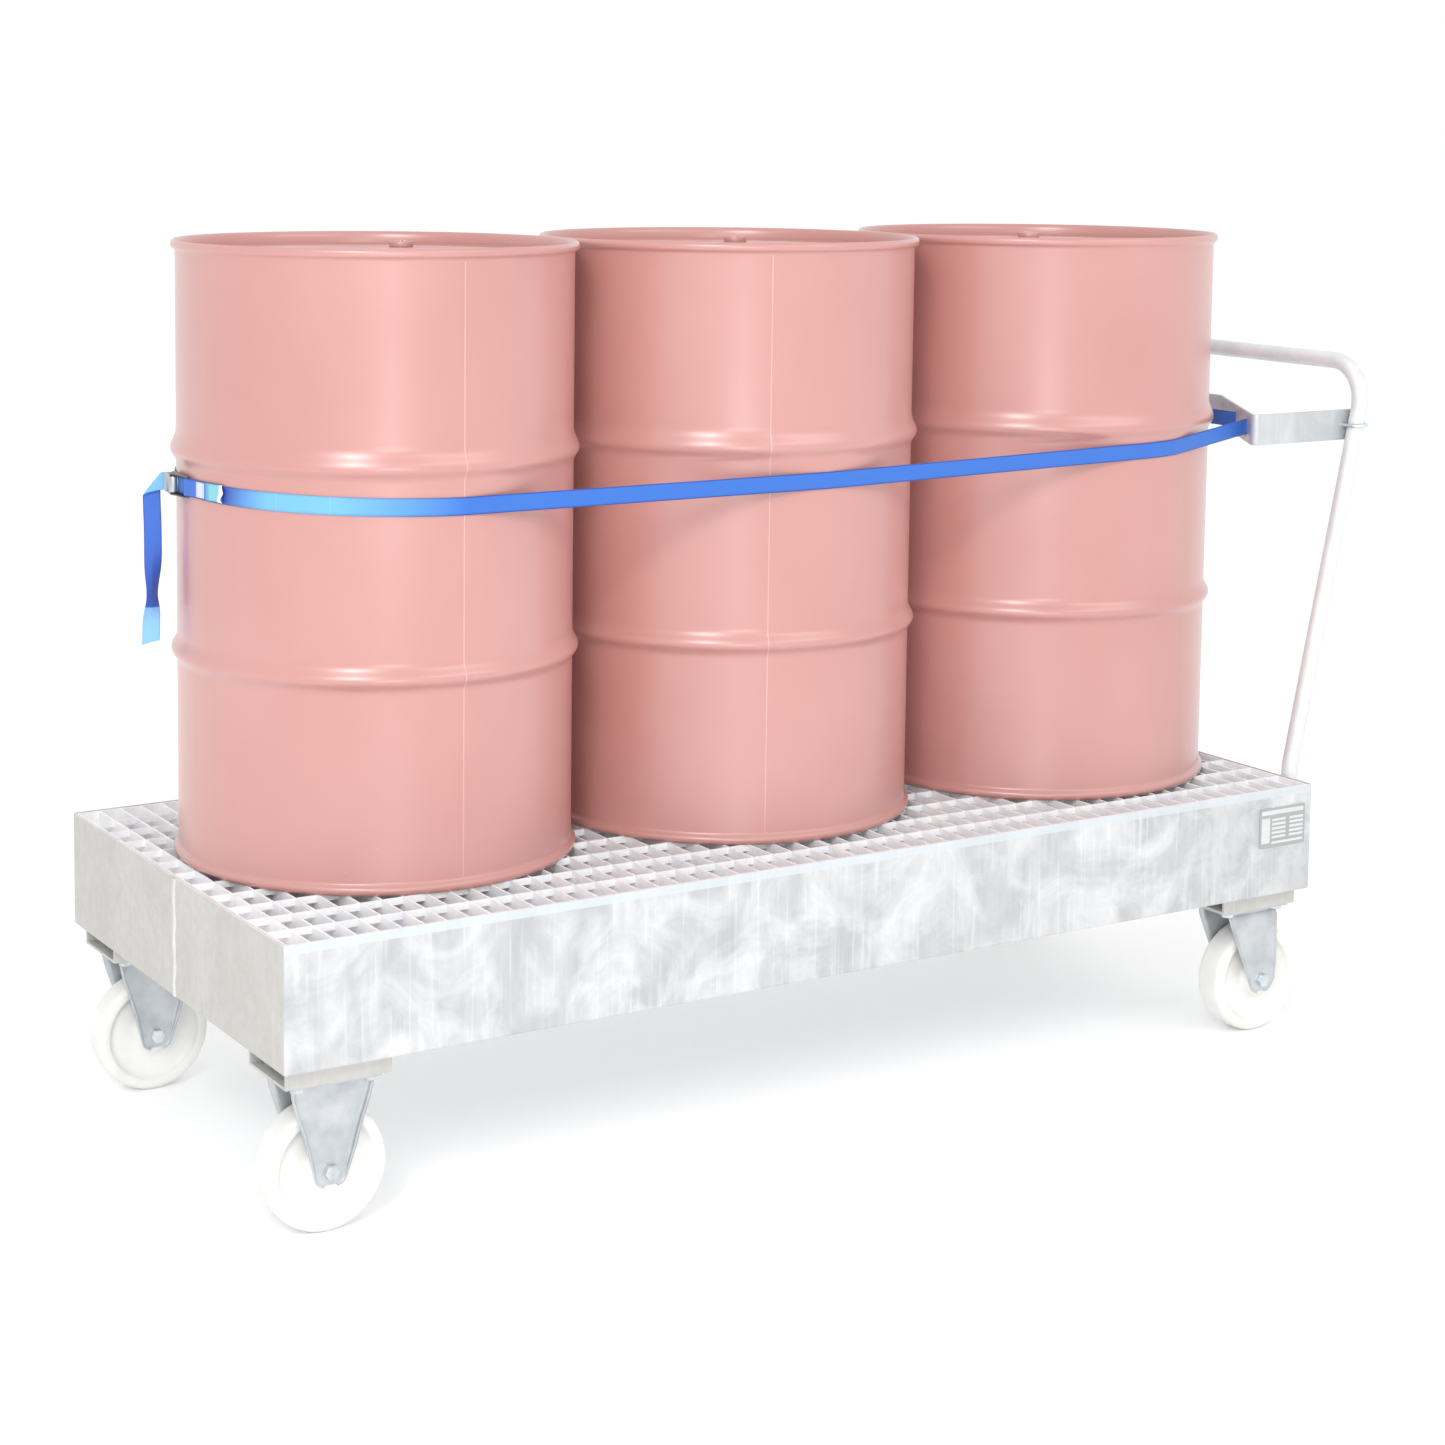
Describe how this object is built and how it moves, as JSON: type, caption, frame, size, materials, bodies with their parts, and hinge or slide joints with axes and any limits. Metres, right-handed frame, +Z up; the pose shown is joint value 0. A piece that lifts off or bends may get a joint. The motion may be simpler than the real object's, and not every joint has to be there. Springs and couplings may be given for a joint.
{
  "type": "drum dolly",
  "caption": "Low galvanised sump tray on castors with a grating deck, a bent-tube push handle and a drum rest, carrying upright steel drums held by a cam-buckle strap.",
  "frame": {"origin": "on the floor under the middle of the whole dolly, handle included", "axes": "+X points to the handle end, +Y to the side away from the type plate, +Z up"},
  "size_m": [1.973, 0.7878, 1.3022],
  "materials": {
    "galvanised_tray": "hot-dip galvanised, soft cloudy spangle",
    "galvanised_grating": "hot-dip galvanised",
    "zinc_castor": "bright zinc plated pressed sheet",
    "zinc_fastener": "zinc plated bolts and nuts",
    "bearing_steel": "polished balls",
    "handle_tube": "light grey, smooth, slight gloss",
    "rest_strip": "light grey, smooth, slight gloss",
    "white_polyamide": "white cast polyamide, satin",
    "type_plate": "printed aluminium plate, matt",
    "webbing": "woven polyester webbing, blue",
    "label_white": "woven label, bare",
    "label_turquoise": "woven label, bare",
    "buckle_zinc": "zinc plated pressed sheet",
    "buckle_cam": "zinc die casting",
    "drum_red": "pale red gloss enamel",
    "bung_zinc": "zinc plated"
  },
  "bodies": {
    "chassis": {"sump_tray": "galvanised_tray", "side_walls": "galvanised_tray", "end_walls": "galvanised_tray", "grating_front": "galvanised_grating", "grating_rear": "galvanised_grating", "grating_ledges": "galvanised_tray", "centre_beams": "galvanised_tray", "foot_front_left": "galvanised_tray", "foot_front_right": "galvanised_tray", "foot_rear_left": "galvanised_tray", "foot_rear_right": "galvanised_tray", "fixed_fork_left": "zinc_castor", "fixed_fork_right": "zinc_castor", "swivel_plate_left": "zinc_castor", "swivel_plate_right": "zinc_castor", "ball_race_left": "bearing_steel", "ball_race_right": "bearing_steel", "kingpin_left": "zinc_fastener", "kingpin_right": "zinc_fastener", "axle_tube_front_left": "zinc_fastener", "axle_tube_front_right": "zinc_fastener", "axle_bolt_front_left": "zinc_fastener", "axle_bolt_front_right": "zinc_fastener", "castor_bolts": "zinc_fastener", "castor_nuts": "zinc_fastener", "handle_tube": "handle_tube", "handle_sockets": "galvanised_tray", "socket_bolts": "zinc_fastener", "drum_rest": "rest_strip", "rest_clamps": "zinc_fastener", "type_plate": "type_plate", "strap_webbing": "webbing", "strap_tail": "webbing", "strap_label": "label_white", "strap_tag": "label_turquoise", "buckle_frame": "buckle_zinc", "buckle_bar": "buckle_zinc", "cam_pin": "buckle_zinc", "cam_spring": "buckle_zinc"},
    "swivel_left": {"swivel_fork_left": "zinc_castor", "axle_tube_rear_left": "zinc_fastener", "axle_bolt_rear_left": "zinc_fastener"},
    "swivel_right": {"swivel_fork_right": "zinc_castor", "axle_tube_rear_right": "zinc_fastener", "axle_bolt_rear_right": "zinc_fastener"},
    "wheel_front_left_body": {"wheel_front_left": "white_polyamide"},
    "wheel_front_right_body": {"wheel_front_right": "white_polyamide"},
    "wheel_rear_left_body": {"wheel_rear_left": "white_polyamide"},
    "wheel_rear_right_body": {"wheel_rear_right": "white_polyamide"},
    "cam": {"cam_lever": "buckle_cam"},
    "drum_front": {"drum_front_shell": "drum_red", "drum_front_heads": "drum_red", "drum_front_bungs": "bung_zinc"},
    "drum_middle": {"drum_middle_shell": "drum_red", "drum_middle_heads": "drum_red", "drum_middle_bungs": "bung_zinc"},
    "drum_rear": {"drum_rear_shell": "drum_red", "drum_rear_heads": "drum_red", "drum_rear_bungs": "bung_zinc"}
  },
  "joints": [
    {"name": "castor_left_swivel", "type": "hinge", "parent": "chassis", "child": "swivel_left", "pos_m": [0.7361, -0.312, 0.2055], "axis": [0, 0, 1], "continuous": true},
    {"name": "castor_right_swivel", "type": "hinge", "parent": "chassis", "child": "swivel_right", "pos_m": [0.7361, 0.312, 0.2055], "axis": [0, 0, 1], "continuous": true},
    {"name": "wheel_front_left_spin", "type": "hinge", "parent": "chassis", "child": "wheel_front_left_body", "pos_m": [-0.8959, -0.312, 0.0875], "axis": [0, 1, 0], "continuous": true},
    {"name": "wheel_rear_left_spin", "type": "hinge", "parent": "swivel_left", "child": "wheel_rear_left_body", "pos_m": [0.7721, -0.312, 0.0875], "axis": [0, 1, 0], "continuous": true},
    {"name": "wheel_front_right_spin", "type": "hinge", "parent": "chassis", "child": "wheel_front_right_body", "pos_m": [-0.8959, 0.312, 0.0875], "axis": [0, 1, 0], "continuous": true},
    {"name": "wheel_rear_right_spin", "type": "hinge", "parent": "swivel_right", "child": "wheel_rear_right_body", "pos_m": [0.7721, 0.312, 0.0875], "axis": [0, 1, 0], "continuous": true},
    {"name": "cam_lift", "type": "hinge", "parent": "chassis", "child": "cam", "pos_m": [-0.94835, 0.06425, 0.96], "axis": [0, 0, 1], "range_deg": [0, 35], "stiffness_Nm_per_rad": 0.12, "springref_deg": -20.05},
    {"name": "drum_front_lift", "type": "slide", "parent": "chassis", "child": "drum_front", "axis": [0, 0, 1], "range_m": [0, 0.2]},
    {"name": "drum_middle_lift", "type": "slide", "parent": "chassis", "child": "drum_middle", "axis": [0, 0, 1], "range_m": [0, 0.2]},
    {"name": "drum_rear_lift", "type": "slide", "parent": "chassis", "child": "drum_rear", "axis": [0, 0, 1], "range_m": [0, 0.2]}
  ]
}
